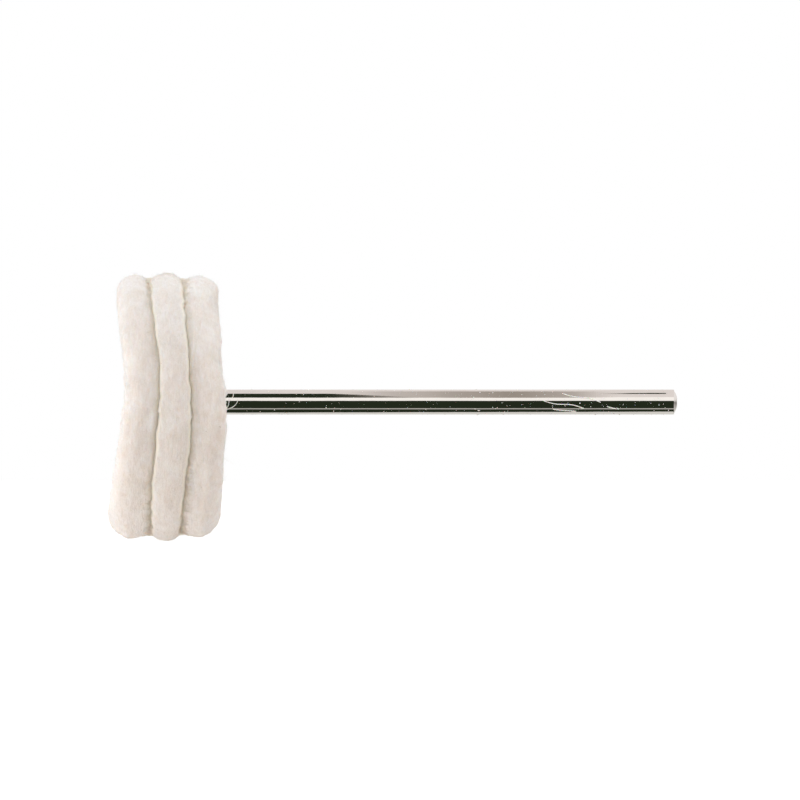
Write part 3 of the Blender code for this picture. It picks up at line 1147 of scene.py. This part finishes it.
# Loose wisps on the shank: (distance from the free end in mm, degrees above level) points
FELT_WISPS = (
    ((41.3, 12), (41.35, 0), (41.6, -19), (42.05, -30), (42.5, -37), (42.7, -50)),
    ((42.1, 14), (42.15, 2), (42.2, -16), (42.3, -27), (42.6, -33)),
    ((42.45, 12), (42.55, 0), (42.55, -14), (42.6, -24), (42.75, -32)),
    ((42.3, 44), (42.4, 32), (42.5, 20), (42.9, 14)),
    ((41.75, 42), (41.7, 30), (41.85, 18)),
)
# Slack fibres that lie along the shank and never cross, so that they can't read as a mark
END_WISPS = (
    ((12.6, 6), (11.9, -6), (11.1, -12), (10.2, -9), (9.5, -16), (8.8, -30)),
    ((10.8, 42), (10.2, 30), (9.4, 20), (8.5, 21), (7.7, 10), (7.2, -2)),
    ((11.7, -34), (10.9, -43), (10.1, -41), (9.5, -48)),
    ((6.6, -20), (6.1, -31), (5.5, -33)),
)


def shank_wisps(name, wisps, material):
    """Loose wool fibres lying on the shank, as smooth curves round it."""
    data = bpy.data.curves.new(name, "CURVE")
    data.dimensions = "3D"
    data.bevel_depth = WISP_RADIUS
    data.bevel_resolution = 2
    data.resolution_u = 10
    data.use_fill_caps = True
    for wisp in wisps:
        spline = data.splines.new("NURBS")
        spline.points.add(len(wisp) - 1)
        spline.order_u = 4
        spline.use_endpoint_u = True
        for point, (from_end, angle) in zip(spline.points, wisp):
            turn = math.radians(angle)
            reach = SHANK_RADIUS + WISP_LIFT
            point.co = (
                -from_end * MM, -reach * math.cos(turn), reach * math.sin(turn), 1.0,
            )
            point.radius = 1.0
    return add_object(name, data, material, FIXED_BODY)


def shank_dust(name, material, seed):
    """Short bits of wool stuck all round the shank."""
    count = DUST_COUNT
    pick = np.random.default_rng(seed)
    x = pick.uniform(*DUST_STRETCH, count)
    turn = pick.uniform(0.0, 2.0 * np.pi, count)
    size = np.exp(pick.normal(math.log(DUST_LENGTH_MM), 0.6, count)) * MM
    heading = pick.uniform(0.0, np.pi, count)
    bend = pick.normal(0.0, 0.25, count)
    step = np.array([-0.5, -0.17, 0.17, 0.5])
    along = size[:, None] * step * np.cos(heading)[:, None]
    side = size[:, None] * (step * np.sin(heading)[:, None] + bend[:, None] * step ** 2)
    around = turn[:, None] + side / SHANK_RADIUS
    reach = SHANK_RADIUS + DUST_LIFT
    paths = np.stack([
        x[:, None] + along, -reach * np.cos(around), reach * np.sin(around),
    ], axis=-1)
    radii = np.clip(0.30 * size, 0.007 * MM, 0.04 * MM)[:, None] * [0.4, 1.0, 1.0, 0.4]
    mesh = fibre_mesh(name, paths, radii, sides=6)
    return add_object(name, mesh, material, FIXED_BODY)


def main():
    make_studio()
    plating = metal_material(
        "bright_plating", (0.86, 0.84, 0.82), (0.82, 0.80, 0.78), (0.03, 0.07),
        0.0012 * MM, 0.0006 * MM,
    )
    washer_finish = metal_material(
        "rubbed_steel", (0.70, 0.69, 0.67), (0.60, 0.585, 0.565), (0.22, 0.36),
        0.004 * MM, 0.002 * MM,
    )
    screw_finish = metal_material(
        "turned_steel", (0.76, 0.745, 0.72), (0.66, 0.64, 0.615), (0.16, 0.28),
        0.003 * MM, 0.003 * MM,
    )
    felt = felt_material()
    loose = fibre_material("loose_wool", (0.93, 0.91, 0.885), (0.86, 0.82, 0.775))
    # The fibres across the grooves are tan as painted shade, matching the shade of the grooves
    # they lie in.
    matted_painted_shade = fibre_material("matted_wool_painted_shade", (0.91, 0.85, 0.77), (0.84, 0.75, 0.65))

    make_mandrel(plating)
    make_washer("rear_washer_finished", "rear_washer", FIXED_BODY, washer_finish)
    make_washer("front_washer_finished", "front_washer", WASHER_BODY, washer_finish)
    make_screw(screw_finish)
    places = ("front", "middle", "rear")
    for layer, place in enumerate(places):
        disc = make_disc(layer, f"felt_{place}", f"felt_disc_{place}", felt)
        fuzz_on(f"fuzz_{place}", disc, loose, 20 + layer)
    groove_fibres("groove_fibres_front", 1, matted_painted_shade, 31)
    groove_fibres("groove_fibres_rear", 2, matted_painted_shade, 32)
    lint = fibre_material("white_lint", (0.95, 0.94, 0.92), (0.88, 0.86, 0.83))
    shank_wisps("wisps_at_felt", FELT_WISPS, lint)
    shank_wisps("wisps_near_end", END_WISPS, lint)
    shank_dust("shank_dust", lint, 41)


main()
